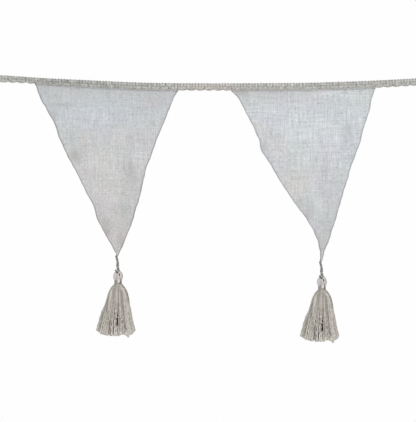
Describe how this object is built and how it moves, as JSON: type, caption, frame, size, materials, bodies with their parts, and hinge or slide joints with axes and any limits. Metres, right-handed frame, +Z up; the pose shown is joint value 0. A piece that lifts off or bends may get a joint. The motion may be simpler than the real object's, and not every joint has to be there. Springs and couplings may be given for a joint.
{
  "type": "fabric bunting",
  "caption": "Fabric bunting with sheer linen triangles under a scalloped braid trim and a yarn tassel hanging from each tip.",
  "frame": {"origin": "middle of the trim's top edge, in the plane of its flat back", "axes": "+X along the trim to the viewer's right, +Y away from the viewer, +Z up; the front faces -Y"},
  "size_m": [0.501, 0.0403, 0.301],
  "materials": {
    "trim_braid": "crocheted cotton braid, matt, warm grey",
    "pennant_linen": "sheer slubbed plain-weave linen, pale grey",
    "hanger_cord": "two-ply twisted cord, dark grey",
    "tassel_yarn": "crinkled two-ply cotton yarn, greige",
    "binding_thread": "wound yarn, greige"
  },
  "bodies": {
    "root": {"trim": "trim_braid", "pennant_left": "pennant_linen", "pennant_right": "pennant_linen", "hanger_left": "hanger_cord", "hanger_right": "hanger_cord", "tassel_left": "tassel_yarn", "tassel_right": "tassel_yarn", "binding_left": "binding_thread", "binding_right": "binding_thread"}
  },
  "joints": []
}
